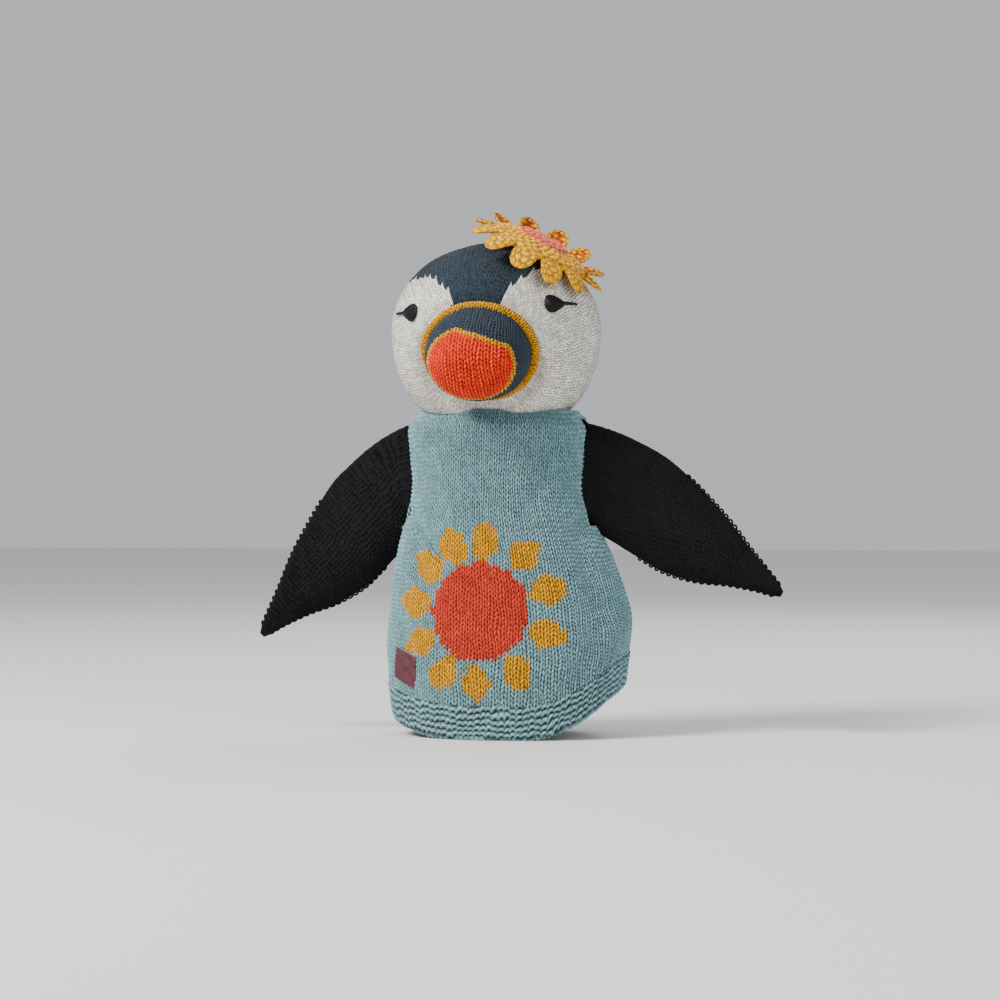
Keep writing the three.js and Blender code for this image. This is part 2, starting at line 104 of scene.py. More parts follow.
# Flippers.
SHOULDER = (50, 152)  # distance from the middle, and height
DROOP = {"left": 31, "right": 45}
FLIPPER_STATIONS = [-8, 0, 15, 35, 54, 70, 88, 105, 121, 130, 135]
FLIPPER_UPPER = [20, 29, 32.5, 33.5, 30.5, 26.5, 21, 14, 8, 4.5, 1.5]
FLIPPER_LOWER = [-22, -25, -26, -25.5, -25.5, -25, -20, -12, -6, -3.5, -1.5]
FLIPPER_HALF_THICKNESS = [11, 11, 10.5, 10.2, 10, 9, 7.6, 6, 4.4, 3.4, 1.2]
FLIPPER_WALES = 34
FLIPPER_START = -6
FLIPPER_END = 134.6
SOCKET_MEETS = (-4, 26)  # stretch in which the root turns from the armhole's shape to the leaf's
SWING_ROW = 7  # the flipper's socket piece ends at this row, and
RAISE_ROW = 22  # its root piece runs from that row to this one
WHIP_PITCH = 3.8

# Head.
HEAD_CENTRE = np.array([-2.5, 0.0, 236.0])
HEAD_HALF = np.array([62.0, 55.0, 52.0])
CHIN_DEPTH = 59
CHIN_SQUARENESS = 0.35
HEAD_BOTTOM = 183
HEAD_WALES = 96
HEAD_FROM = 33  # degrees off the beak's axis where the head's cover starts
HEAD_TO = 179.7
TUBE_RADIUS = 12.5
TUBE_BOTTOM = 166
TUBE_HEIGHT = 26
TUBE_WALES = 24
TUBE_ROWS = 10
CROWN_EDGE_X = [-62, -48, -36, -28, -21, -17, -16.9, 10.8, 10.9, 18, 30, 45, 62]
CROWN_EDGE_Z = [261, 265, 266, 262.5, 257, 250, 238, 238, 251, 260, 271, 274, 270]
CROWN_BACK_Y = 12

# Beak, rim and eyes.
BEAK_PITCH = 18.5
BEAK_BASE = 42
BEAK_RADIUS = 30
BEAK_FLATTEN = 0.84
BEAK_LENGTH = 39
BEAK_SQUARENESS = 2.6
BEAK_WALES = 32
BEAK_ROWS = 42
CAP_START = 29.5  # distance from the beak's base at which its orange cap starts
CAP_EDGE = (227.5, 0.33)  # height of the cap's upper edge in the middle, and its fall to the left
STRIPE_WIDTH = 2.6
RIM_RADIUS = 32
RIM_TUBE = 2.1
RIM_OFFSET = 2.6
RIM_WALES = 64
RIM_ROWS = 5
RIM_ANGLE = 38  # degrees off the beak's axis at which the rim lies
EYE_AZIMUTH = {"left": 46.5, "right": 44.5}
EYE_ELEVATION = {"left": 13, "right": 8.5}
EYE_HALF = (4.9, 5.4)
EYE_HEIGHT = 1.7
EYE_WALES = 20
EYE_ROWS = 6
LASH_LENGTH = 13
LASH_POINTS = 16
LASH_RADII = (0.85, 0.45)  # at the eye and at the tip

# Flower hat.
HAT_TILT = 30
HAT_NOD = 6
HAT_SEAT = np.array([26.0, -9.0, 43.0])  # direction from the head's centre to the hat's
HAT_RADIUS = 28
HAT_SAG = 160
HAT_THICKNESS = 3
HAT_LIFT = 4.2
HAT_CENTRE_RADIUS = 14.5
CROCHET_ROUND = 3.6  # width of one round of the crochet
CROCHET_DEPTH = 1.3
PETALS = 12
PETAL_WALES = 10
PETAL_ROWS = 5
PETAL_TIP = 0.9995  # just short of 1, so that the tip has a width
PETAL_LENGTH = 16.5
PETAL_HALF_WIDTH = 8.0
PETAL_UP = 48
PETAL_DOWN = -14
PETAL_HALF_THICKNESS = 2.4
PETAL_DENT = 3.4
PETAL_CURL = 7
PETAL_CUPPED = 0.45  # petals further back than this share are cupped

# Label.
LABEL_WIDTH = 19
LABEL_HEIGHT = 19
LABEL_BOTTOM = 26
LABEL_ANGLE = 219
LABEL_TILT = -9

# ---------------------------------------------------------------- numbers


def through(places, values):
    """A smooth function through the given values."""
    places = np.array(places, float)
    values = np.array(values, float)
    inner = (values[2:] - values[:-2]) / (places[2:] - places[:-2])
    first = (values[1] - values[0]) / (places[1] - places[0])
    last = (values[-1] - values[-2]) / (places[-1] - places[-2])
    slopes = np.concatenate([[first], inner, [last]])

    def at(where):
        where = np.clip(where, places[0], places[-1])
        k = np.clip(np.searchsorted(places, where) - 1, 0, len(places) - 2)
        span = places[k + 1] - places[k]
        t = (where - places[k]) / span
        bend = (t - 1) ** 2 * t * span * slopes[k] + (t - 1) * t**2 * span * slopes[k + 1]
        mix = t * t * (3 - 2 * t)
        return values[k] * (1 - mix) + values[k + 1] * mix + bend

    return at


def smoothstep(value, low, high):
    t = np.clip((value - low) / (high - low), 0, 1)
    return t * t * (3 - 2 * t)


def stack(x, y, z):
    return np.stack(np.broadcast_arrays(x, y, z), axis=-1).astype(float)


def unit(vectors):
    length = np.linalg.norm(vectors, axis=-1, keepdims=True)
    return vectors / np.maximum(length, 1e-9)


WAVES = RANDOM.normal(size=(9, 3)) * np.array([[0.05], [0.07], [0.1]] * 3)
PHASES = RANDOM.uniform(0, 2 * math.pi, (9, 3))


def wobble(points, amount, fineness=1.0):
    """A small smooth shift that makes a surface look handmade."""
    shift = np.zeros(points.shape)
    for wave, phase in zip(WAVES, PHASES):
        along = points @ wave * fineness
        for axis in range(3):
            shift[..., axis] += np.sin(along + phase[axis])
    return shift * (amount / 3)


# ---------------------------------------------------------------- stitches


def stocking(wale, row):
    """Height, 0 to 1, of the smooth side of a knit: columns of nested V stitches."""
    side = np.abs(wale % 1 - 0.5)
    leg = np.clip(np.sin(2 * math.pi * side), 0, 1) ** 0.7
    lobe = np.abs(np.cos(math.pi * (row - LEAN * side))) ** 0.7
    return (0.12 + 0.88 * leg) * (0.15 + 0.85 * lobe)


def garter(wale, row):
    """Height of a garter stitch: one ridge of linked bumps to each row of the grid."""
    bumps = np.abs(np.sin(math.pi * wale)) ** 0.7
    upper = np.clip(np.cos(math.pi * (row % 1 - 0.38) / 0.62), 0, 1) * bumps
    lower = np.clip(np.cos(math.pi * (row % 1 - 0.68) / 0.62), 0, 1) * (1 - bumps)
    return np.maximum(upper, lower) ** 0.6


def crochet(wale, row):
    """Height of a crocheted round: rings of fat bumps, each ring half a bump on."""
    shift = 0.5 * (np.floor(row) % 2)
    bump = np.abs(np.sin(math.pi * (wale + shift))) ** 0.6
    return bump * np.abs(np.sin(math.pi * row)) ** 0.6


def purl(wale, row):
    """Height of the wrong side of a knit, which only shows inside."""
    return 0.5 + 0.5 * np.cos(2 * math.pi * row) * np.cos(2 * math.pi * wale)


def plain(wale, row):
    return np.zeros(np.broadcast(wale, row).shape)


# ---------------------------------------------------------------- meshes


def make_mesh(name, points, faces, corner_stitch, relief, material, normals=None):
    """One mesh object from points in millimetres, with a stitch UV map and a relief value."""
    name = f"{name}_look"
    mesh = bpy.data.meshes.new(name)
    mesh.vertices.add(len(points))
    mesh.vertices.foreach_set("co", (points * MM).astype(np.float32).ravel())
    mesh.loops.add(faces.size)
    mesh.loops.foreach_set("vertex_index", faces.astype(np.int32).ravel())
    mesh.polygons.add(len(faces))
    mesh.polygons.foreach_set("loop_start", np.arange(len(faces), dtype=np.int32) * 4)
    mesh.polygons.foreach_set("use_smooth", np.ones(len(faces), bool))
    uv = mesh.uv_layers.new(name="stitch")
    uv.data.foreach_set("uv", corner_stitch.astype(np.float32).ravel())
    value = mesh.attributes.new("relief", "FLOAT", "POINT")
    value.data.foreach_set("value", relief.astype(np.float32))
    mesh.update(calc_edges=True)
    if normals is not None:
        mesh.normals_split_custom_set_from_vertices(normals.astype(np.float32))
    mesh.materials.append(material)
    piece = bpy.data.objects.new(name, mesh)
    bpy.context.scene.collection.objects.link(piece)
    return piece


def grid_faces(lines, columns, flip):
    """Quads of a grid of points, as indices into its flattened array."""
    first = np.arange((lines - 1) * columns).reshape(lines - 1, columns)[:, :-1]
    corners = [first, first + 1, first + columns + 1, first + columns]
    if flip:
        corners.reverse()
    return np.stack(corners, axis=-1)


class Knit:
    """A knitted surface as one fine grid, from which pieces are cut along its stitches."""

    def __init__(
        self, surface, wales, rows, relief=stocking, depth=STITCH_DEPTH, flip=False, closed=False
    ):
        columns = int(round((wales[1] - wales[0]) * ACROSS)) + 1
        lines = int(round((rows[1] - rows[0]) * ALONG)) + 1
        self.wale, self.row = np.meshgrid(
            np.linspace(*wales, columns), np.linspace(*rows, lines)
        )
        self.flip = flip
        self.closed = closed
        self.base = surface(self.wale, self.row)
        across = np.gradient(self.base, axis=1)
        out = self.normals(self.base)
        width = np.linalg.norm(across, axis=-1) * ACROSS
        tall = np.linalg.norm(np.gradient(self.base, axis=0), axis=-1) * ALONG
        stray = wobble(self.base, UNEVEN, 5)
        self.loop_wale = self.wale + stray[..., 0]
        self.loop_row = self.row + 2 * stray[..., 1]
        self.relief = relief(self.loop_wale, self.loop_row)
        room = np.clip(width / FULL_WALE, 0.1, 1) * np.clip(tall / ROW * 1.3, 0.1, 1)
        height = depth * self.relief * room * (1 + stray[..., 2])
        self.place = self.base + out * height[..., None] + wobble(self.base, 0.35)
        self.shading = self.normals(self.place)
        if closed:
            seam = unit(self.shading[:, 0] + self.shading[:, -1])
            self.shading[:, 0] = self.shading[:, -1] = seam

    def normals(self, points):
        across = np.gradient(points, axis=1)
        along = np.gradient(points, axis=0)
        out = unit(np.cross(across, along))
        return -out if self.flip else out

    def middle(self, values):
        """The value at the middle of each face."""
        return (values[1:, 1:] + values[:-1, 1:] + values[1:, :-1] + values[:-1, :-1]) / 4

    def places(self):
        """The place of the middle of each face."""
        return np.stack([self.middle(self.base[..., i]) for i in range(3)], axis=-1)

    def stitches(self):
        """The place of the stitch that each face belongs to."""
        wale = self.middle(self.wale) - self.wale[0, 0]
        row = self.middle(self.row) - self.row[0, 0]
        side = np.abs(wale % 1 - 0.5)
        line = np.clip(np.floor(row - LEAN * side + 0.5), 0, None).astype(int) * ALONG
        column = np.floor(wale).astype(int) * ACROSS + ACROSS // 2
        last_line, last_column = (n - 1 for n in self.wale.shape)
        return self.base[np.minimum(line, last_line), np.minimum(column, last_column)]

    def cut(self, name, material, keep=None):
        """A piece made of the faces to keep, or of all of them."""
        faces = grid_faces(*self.wale.shape, self.flip)
        faces = faces.reshape(-1, 4) if keep is None else faces[keep]
        corners = faces.ravel()
        stitch = np.stack([self.loop_wale.ravel()[corners], self.loop_row.ravel()[corners]], -1)
        if self.closed:
            around = self.wale.shape[1] - 1
            faces = np.where(faces % (around + 1) == around, faces - around, faces)
        used, faces = np.unique(faces, return_inverse=True)
        return make_mesh(
            name,
            self.place.reshape(-1, 3)[used],
            faces.reshape(-1, 4),
            stitch,
            self.relief.ravel()[used],
            material,
            self.shading.reshape(-1, 3)[used],
        )


def tube_grid(path, radius, sides=10, plies=3, twist=0.5, ply_depth=0.16):
    """Points, stitch coordinates and relief of a plied strand of yarn along a path."""
    path = np.array(path, float)
    ahead = unit(np.gradient(path, axis=0))
    first = np.cross(ahead[0], [0.31, 0.87, 0.38])
    side = [unit(first)]
    for direction in ahead[1:]:
        carried = side[-1] - direction * (side[-1] @ direction)
        side.append(unit(carried))
    side = np.array(side)
    other = np.cross(ahead, side)
    run = np.concatenate([[0], np.cumsum(np.linalg.norm(np.diff(path, axis=0), axis=1))])
    around = np.linspace(0, 2 * math.pi, sides + 1)
    lobes = 0.5 + 0.5 * np.cos(plies * around[None, :] + twist * run[:, None] * 2 * math.pi / 3)
    reach = np.broadcast_to(radius, len(path))[:, None] * (1 - ply_depth + ply_depth * lobes)
    cosine, sine = (wave(around)[None, :, None] for wave in (np.cos, np.sin))
    turn = cosine * side[:, None] + sine * other[:, None]
    points = path[:, None] + turn * reach[..., None]
    stitch = np.stack(np.broadcast_arrays(around[None, :] / 2, run[:, None] / 3), axis=-1)
    return points, stitch, lobes


def strands(name, material, paths, radius, **shape):
    """One piece made of any number of strands, each with its own path."""
    points, faces, stitch, relief = [], [], [], []
    count = 0
    for path in paths:
        grid, uv, lobes = tube_grid(path, radius, **shape)
        faces.append(grid_faces(*grid.shape[:2], True).reshape(-1, 4) + count)
        points.append(grid.reshape(-1, 3))
        stitch.append(uv.reshape(-1, 2))
        relief.append(lobes.ravel())
        count += len(points[-1])
    faces = np.concatenate(faces)
    stitch = np.concatenate(stitch)[faces.ravel()]
    relief = np.concatenate(relief)
    return make_mesh(name, np.concatenate(points), faces, stitch, relief, material)


# ---------------------------------------------------------------- materials


class Nodes:
    """Shorthand for building a node tree."""

    def __init__(self, name):
        self.material = bpy.data.materials.new(name)
        self.material.use_nodes = True
        self.tree = self.material.node_tree
        self.tree.nodes.clear()

    def add(self, kind, **settings):
        node = self.tree.nodes.new(kind)
        for key, value in settings.items():
            setattr(node, key, value)
        return node

    def link(self, source, target):
        self.tree.links.new(source, target)

    def math(self, operation, *values):
        node = self.add("ShaderNodeMath", operation=operation)
        for socket, value in zip(node.inputs, values):
            if isinstance(value, (int, float)):
                socket.default_value = value
            else:
                self.link(value, socket)
        return node.outputs[0]

    def noise(self, vector, scale, detail=2.0):
        node = self.add("ShaderNodeTexNoise")
        node.inputs["Scale"].default_value = scale
        node.inputs["Detail"].default_value = detail
        self.link(vector, node.inputs["Vector"])
        return node.outputs["Fac"]

    def spread(self, value, low, high):
        node = self.add("ShaderNodeMapRange")
        node.inputs["To Min"].default_value = low
        node.inputs["To Max"].default_value = high
        self.link(value, node.inputs["Value"])
        return node.outputs["Result"]

    def scaled(self, colour, factor):
        node = self.add("ShaderNodeVectorMath", operation="SCALE")
        if isinstance(colour, tuple):
            node.inputs[0].default_value = colour
        else:
            self.link(colour, node.inputs[0])
        self.link(factor, node.inputs["Scale"])
        return node.outputs[0]


def linear(colour):
    """A hex colour as linear red, green and blue."""
    channels = [int(colour[i : i + 2], 16) / 255 for i in (1, 3, 5)]
    return tuple(c / 12.92 if c < 0.04045 else ((c + 0.055) / 1.055) ** 2.4 for c in channels)


def yarn(name, colour, painted_gap_shade=0.86, mottle=0.14, fluff=0.5, sheen=0.1, roughness=0.85):
    """Wool yarn: painted shade between the stitches and painted highlight on their tops, mottled,
    twisted and fibrous.
    """
    n = Nodes(name)
    place = n.add("ShaderNodeTexCoord").outputs["Object"]
    stitch = n.add("ShaderNodeUVMap", uv_map="stitch").outputs["UV"]
    split = n.add("ShaderNodeSeparateXYZ")
    n.link(stitch, split.inputs[0])
    side = n.math("ABSOLUTE", n.math("SUBTRACT", n.math("FRACT", split.outputs["X"]), 0.5))
    along = n.math("SUBTRACT", split.outputs["Y"], n.math("MULTIPLY", side, LEAN))
    turn = n.math("ADD", n.math("MULTIPLY", along, 12.6), n.math("MULTIPLY", side, 25.0))
    ply = n.math("SINE", turn)
    leg = n.add("ShaderNodeCombineXYZ")
    n.link(n.math("FLOOR", n.math("MULTIPLY", split.outputs["X"], 2.0)), leg.inputs["X"])
    n.link(n.math("FLOOR", n.math("ADD", along, 0.5)), leg.inputs["Y"])
    chance = n.add("ShaderNodeTexWhiteNoise", noise_dimensions="2D")
    n.link(leg.outputs[0], chance.inputs["Vector"])
    relief = n.add("ShaderNodeAttribute", attribute_name="relief").outputs["Fac"]
    patches = n.noise(place, 60)
    flecks = n.noise(place, 900)
    fibres = n.noise(place, 3500, 4.0)
    # Painted shade and highlight: the colour is darkened by up to the given share where the stitch
    # relief is low, between the stitches and legs, and lightened on the stitch tops.
    depth = n.spread(n.math("POWER", relief, 1.5), 1 - painted_gap_shade, 1.35)
    tone = n.math("MULTIPLY", depth, n.spread(patches, 1 - mottle, 1 + mottle))
    tone = n.math("MULTIPLY", tone, n.spread(flecks, 1 - mottle, 1 + mottle))
    # Painted shade in the grooves between the plies, a little lighter on the plies.
    tone = n.math("MULTIPLY", tone, n.spread(ply, 0.95, 1.05))
    tone = n.math("MULTIPLY", tone, n.spread(chance.outputs["Value"], 0.78, 1.14))
    height = n.math("ADD", n.math("MULTIPLY", ply, 0.16), n.math("MULTIPLY", fibres, fluff))
    height = n.math("ADD", height, n.math("MULTIPLY", flecks, fluff))
    bump = n.add("ShaderNodeBump")
    bump.inputs["Strength"].default_value = 0.7
    bump.inputs["Distance"].default_value = 0.5 * MM
    n.link(height, bump.inputs["Height"])
    shader = n.add("ShaderNodeBsdfPrincipled")
    n.link(n.scaled(linear(colour), tone), shader.inputs["Base Color"])
    n.link(n.spread(flecks, roughness - 0.08, roughness + 0.1), shader.inputs["Roughness"])
    shader.inputs["Specular IOR Level"].default_value = 0.25
    shader.inputs["Sheen Weight"].default_value = sheen
    shader.inputs["Sheen Roughness"].default_value = 0.4
    n.link(bump.outputs[0], shader.inputs["Normal"])
    n.link(shader.outputs[0], n.add("ShaderNodeOutputMaterial").inputs[0])
    return n.material


def woven(name, colour):
    """Satin-woven label tape: fine crossing threads."""
    n = Nodes(name)
    place = n.add("ShaderNodeTexCoord").outputs["Object"]
    stitch = n.add("ShaderNodeUVMap", uv_map="stitch").outputs["UV"]
    split = n.add("ShaderNodeSeparateXYZ")
    n.link(stitch, split.inputs[0])
    weft = n.math("SINE", n.math("MULTIPLY", split.outputs["Y"], 15.0))
    warp = n.math("SINE", n.math("MULTIPLY", split.outputs["X"], 15.0))
    threads = n.math("ADD", weft, n.math("MULTIPLY", warp, 0.5))
    wear = n.noise(place, 250, 3.0)
    # The threads' tone follows their bump: painted shade between the threads, a little lighter on
    # them.
    tone = n.math("MULTIPLY", n.spread(wear, 0.8, 1.2), n.spread(threads, 0.94, 1.06))
    bump = n.add("ShaderNodeBump")
    bump.inputs["Strength"].default_value = 0.35
    bump.inputs["Distance"].default_value = 0.2 * MM
    n.link(threads, bump.inputs["Height"])
    shader = n.add("ShaderNodeBsdfPrincipled")
    n.link(n.scaled(linear(colour), tone), shader.inputs["Base Color"])
    n.link(n.spread(wear, 0.45, 0.65), shader.inputs["Roughness"])
    n.link(bump.outputs[0], shader.inputs["Normal"])
    n.link(shader.outputs[0], n.add("ShaderNodeOutputMaterial").inputs[0])
    return n.material


SEA = yarn("sea_yarn", "#86B1B8", painted_gap_shade=0.95)
NAVY = yarn("navy_yarn", "#33424F")
INK = yarn("ink_yarn", "#080A0E", sheen=0.0, painted_gap_shade=0.6)
CREAM = yarn("cream_yarn", "#FFFAEE", painted_gap_shade=0.8)
CORAL = yarn("sun_yarn", "#DE3F27")
GOLD = yarn("gold_yarn", "#F0A800", painted_gap_shade=0.95)
HAT_GOLD = yarn("hat_yarn", "#FFB800", painted_gap_shade=0.75)
# Painted shade: a darker orange for the cupped hollows of the back petals, where the hat's yellow
# yarn lies in shade.
HOLLOW_SHADE = yarn("hollow_shade_yarn", "#E87800")
ORANGE = yarn("orange_yarn", "#FF3600")
PINK = yarn("pink_yarn", "#F06A58", painted_gap_shade=0.6)
SATIN = yarn("satin_thread", "#0B0D10", fluff=0.1, sheen=0.0, roughness=0.4)
LINING = yarn("lining_cotton", "#CFC8B8")
BURGUNDY = woven("label_tape", "#4E0A1E")


def finish(piece, body, slot, *nodes):
    """Fixes a piece to a body and hides the CAD nodes it stands for. The slot is not used."""
    if nodes:
        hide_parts(*nodes)
    if body:
        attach(piece, body)
    return piece


# ---------------------------------------------------------------- dress

half_width = through(DRESS_HEIGHTS, DRESS_HALF_WIDTHS)
half_depth = through(DRESS_HEIGHTS, DRESS_HALF_DEPTHS)


def hitch(x, y, z):
    """The hem rides up at the sides and back, and the rise fades out higher up the dress."""
    share = np.clip(np.abs(x) / half_width(z), HITCH_FLAT, 1)
    side = ((share - HITCH_FLAT) / (1 - HITCH_FLAT)) ** HITCH_POWER
    backness = np.clip((1 + y / half_depth(z)) / 2, 0, 1)
    fade = 1 - smoothstep(z, *HITCH_FADE)
    return (np.where(x > 0, HITCH_LEFT, HITCH_RIGHT) * side + HITCH_BACK * backness**2) * fade


def even_angle(share):
    """Angle round the oval at a share of its half girth, from the right side by the front."""
    angle = np.linspace(-math.pi, 0, 181)
    pace = np.hypot(TYPICAL_HALF[0] * np.sin(angle), TYPICAL_HALF[1] * np.cos(angle))
    run = np.concatenate([[0], np.cumsum((pace[1:] + pace[:-1]) / 2)])
    return np.interp(share, run / run[-1], angle)


# Soft folds: start and end on the front panel as (x, z), half width, depth.
FOLDS = [
    ((-49, 128), (-30, 104), 5.0, 2.6),
    ((-47, 116), (-40, 84), 5.0, 1.6),
    ((49, 122), (58, 70), 6.0, 3.0),
    ((36, 150), (20, 128), 6.0, 1.2),
    ((60, 62), (48, 26), 7.0, 1.8),
    ((-58, 60), (-50, 28), 7.0, 1.4),
]


def fold_depth(x, z):
    """How far the folds press the fabric in."""
    depth = np.zeros(np.shape(x))
    for start, end, width, deep in FOLDS:
        line = np.subtract(end, start)
        length = np.hypot(*line)
        share = ((x - start[0]) * line[0] + (z - start[1]) * line[1]) / length**2
        near = np.clip(share, 0, 1)
        away = np.hypot(x - start[0] - near * line[0], z - start[1] - near * line[1])
        depth = depth + deep * np.exp(-((away / width) ** 2))
    return depth


def dress_point(angle, z, margin=0.0):
    """A point of the dress's oval, given an angle from +X and the height before the hitch."""
    tuck = 9 * smoothstep(z, 176, 190) ** 1.5
    margin = margin - tuck - fold_depth(half_width(z) * np.cos(angle), z)
    x = (half_width(z) + margin) * np.cos(angle)
    y = (half_depth(z) + margin) * np.sin(angle)
    sway = SWAY * (1 - smoothstep(z, *SWAY_FADE))
    return stack(x + sway, y, z + hitch(x, y, z))


def panel_surface(facing, margin=0.0):
    """Facing is -1 for the front panel and 1 for the back one."""

    def surface(wale, row):
        angle = even_angle(wale / PANEL_WALES)
        return dress_point(-facing * angle, HEM_TOP + row * ROW, margin)

    return surface


def row_at(height):
    return round((height - HEM_TOP) / ROW)


def sun_masks(stitch):
    """Which faces belong to the sun's disc, and which to its petals."""
    x = stitch[..., 0] - SUN[0]
    z = stitch[..., 2] - SUN[1]
    front = stitch[..., 1] < 0
    disc = front & (np.hypot(x, z) < SUN_RADIUS)
    petals = np.zeros(disc.shape, bool)
    for degrees in SUN_PETAL_ANGLES:
        out = np.array([math.cos(math.radians(degrees)), math.sin(math.radians(degrees))])
        along = (x * out[0] + z * out[1] - SUN_PETAL_AT) / SUN_PETAL_HALF[1]
        across = (z * out[0] - x * out[1]) / SUN_PETAL_HALF[0]
        petals |= front & (np.abs(along) ** 1.6 + np.abs(across) ** 1.6 < 1)
    return disc, petals & ~disc


def build_panel(side, facing):
    rows = row_at(COLLAR_TOP)
    knit = Knit(panel_surface(facing), (0, PANEL_WALES), (0, rows), flip=facing > 0)
    wale = knit.middle(knit.wale)
    row = knit.middle(knit.row)
    edge = (wale < ARM_WALES) | (wale > PANEL_WALES - ARM_WALES)
    cloth = ~(edge & (row > row_at(ARMHOLE_BOTTOM)) & (row < row_at(COLLAR_END)))
    disc, petals = sun_masks(knit.stitches())
    low = row < row_at(YOKE_BOTTOM)
    high = row > row_at(COLLAR_BOTTOM)
    body = knit.cut(f"dress_{side}", SEA, cloth & low & ~disc & ~petals)
    finish(body, "dress", "dress_yarn", f"dress_{side}")
    motif = []
    if side == "front":
        motif.append(finish(knit.cut("sun_disc", CORAL, disc), "dress", "coral_yarn"))
        motif.append(finish(knit.cut("sun_petals", GOLD, petals), "dress", "petal_yarn"))
    yoke = knit.cut(f"dress_yoke_{side}", SEA, cloth & ~low & ~high)
    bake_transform(yoke)
    finish(yoke, None, "dress_yarn", "neck_gather")
    collar = knit.cut(f"dress_collar_{side}", SEA, cloth & high)
    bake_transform(collar)
    finish(collar, None, "dress_yarn", "neck_seam")
    return body, yoke, collar, motif


def hem_surface(facing):
    """The band runs down the outside, round the cast-on edge and a little way up inside."""

    def surface(wale, row):
        angle = even_angle(wale / PANEL_WALES) * -facing
        down = HEM_TOP - row * HEM_TOP / HEM_RIDGES
        curl = np.clip((row - HEM_RIDGES) / 1.0, 0, 1) * math.pi
        edge = FABRIC / 2 + 0.3
        outside = down + edge * (row / HEM_RIDGES)
        height = np.where(row < HEM_RIDGES, outside, edge - edge * np.sin(curl))
        inward = np.where(row < HEM_RIDGES, 0, edge * (1 - np.cos(curl)))
        return dress_point(angle, height, 1.0 - inward)

    return surface


def build_hem(side, facing):
    knit = Knit(
        hem_surface(facing),
        (0, PANEL_WALES),
        (-0.15, HEM_RIDGES + 1),
        relief=garter,
        depth=1.3,
        flip=facing < 0,
    )
    band = knit.cut(f"hem_band_{side}", SEA)
    return finish(band, "dress", "dress_yarn", f"hem_band_{side}")


def build_inside(side, facing):
    """The wrong side of the fabric, seen from below."""

    def surface(wale, row):
        angle = even_angle(wale / INSIDE_WALES) * -facing
        return dress_point(angle, INSIDE_BOTTOM + row * INSIDE_ROW, -FABRIC)

    wales = (0, INSIDE_WALES)
    knit = Knit(surface, wales, (0, INSIDE_ROWS), relief=purl, depth=0.4, flip=facing < 0)
    wale = knit.middle(knit.wale)
    height = knit.middle(knit.row) * INSIDE_ROW
    edge = (wale < INSIDE_EDGE) | (wale > INSIDE_WALES - INSIDE_EDGE)
    keep = ~(edge & (height > ARMHOLE_BOTTOM)) & (height < YOKE_BOTTOM)
    inside = knit.cut(f"dress_inside_{side}", SEA, keep)
    return finish(inside, "dress", "dress_yarn")


def side_path(sign, low, high, margin):
    heights = np.linspace(low, high, 60)
    return dress_point(0.0 if sign > 0 else math.pi, heights, margin)


def build_side_seam(side, sign):
    seam = strands(
        f"side_seam_{side}",
        SEA,
        [side_path(sign, 1.5, ARMHOLE_BOTTOM, 0.1)],
        1.5,
        plies=2,
        twist=1.0,
        ply_depth=0.3,
    )
    return finish(seam, "dress", "dress_yarn", f"side_seam_{side}")


def build_armhole_edge(side, sign):
    """The rolled edge of the armhole: down the front, across the bottom, up the back."""
    share = ARM_WALES / PANEL_WALES
    angle = even_angle(1 - share)
    heights = np.linspace(YOKE_BOTTOM, ARMHOLE_BOTTOM, 24)
    sweep = np.linspace(angle, -angle, 16)
    down = dress_point(angle, heights, -0.3)
    across = dress_point(sweep, ARMHOLE_BOTTOM, -0.3)
    up = dress_point(-angle, heights[::-1], -0.3)
    path = np.concatenate([down[:-1], across, up[1:]])
    path[:, 0] *= sign
    edge = strands(f"armhole_edge_{side}", SEA, [path], 1.3, plies=2, twist=1.0, ply_depth=0.3)
    return finish(edge, "dress", "dress_yarn")


def build_label():
    """A plain woven label, sewn on by its folded ends."""
    middle_angle = math.radians(LABEL_ANGLE)
    middle_height = LABEL_BOTTOM + LABEL_HEIGHT / 2
    tilt = math.radians(LABEL_TILT)

    def surface(wale, row):
        across = wale - LABEL_WIDTH / 2
        up = row - LABEL_HEIGHT / 2
        height = middle_height + up * math.cos(tilt) + across * math.sin(tilt)
        girth = across * math.cos(tilt) - up * math.sin(tilt)
        edge = np.minimum(wale, LABEL_WIDTH - wale)
        tuck = 0.5 * np.exp(-((edge / 1.2) ** 2)) + 0.2 * np.sin(row * 0.7) * np.sin(wale * 0.4)
        angle = middle_angle + girth / TYPICAL_HALF[0]
        return dress_point(angle, height, 1.9 - tuck)

    knit = Knit(surface, (0, LABEL_WIDTH), (0, LABEL_HEIGHT), relief=plain, depth=0)
    label = knit.cut("side_label", BURGUNDY)
    finish(label, "dress", "label_tape", "side_label")
    return label


def build_dress():
    for side, facing in (("front", -1), ("back", 1)):
        body, yoke, collar, motif = build_panel(side, facing)
        hem = build_hem(side, facing)
        inside = build_inside(side, facing)
    for side, sign in (("left", 1), ("right", -1)):
        build_side_seam(side, sign)
        build_armhole_edge(side, sign)
    build_label()


# ---------------------------------------------------------------- flippers

upper_edge = through(FLIPPER_STATIONS, FLIPPER_UPPER)
lower_edge = through(FLIPPER_STATIONS, FLIPPER_LOWER)
half_thickness = through(FLIPPER_STATIONS, FLIPPER_HALF_THICKNESS)


def squared(value, power):
    return np.sign(value) * np.abs(value) ** power


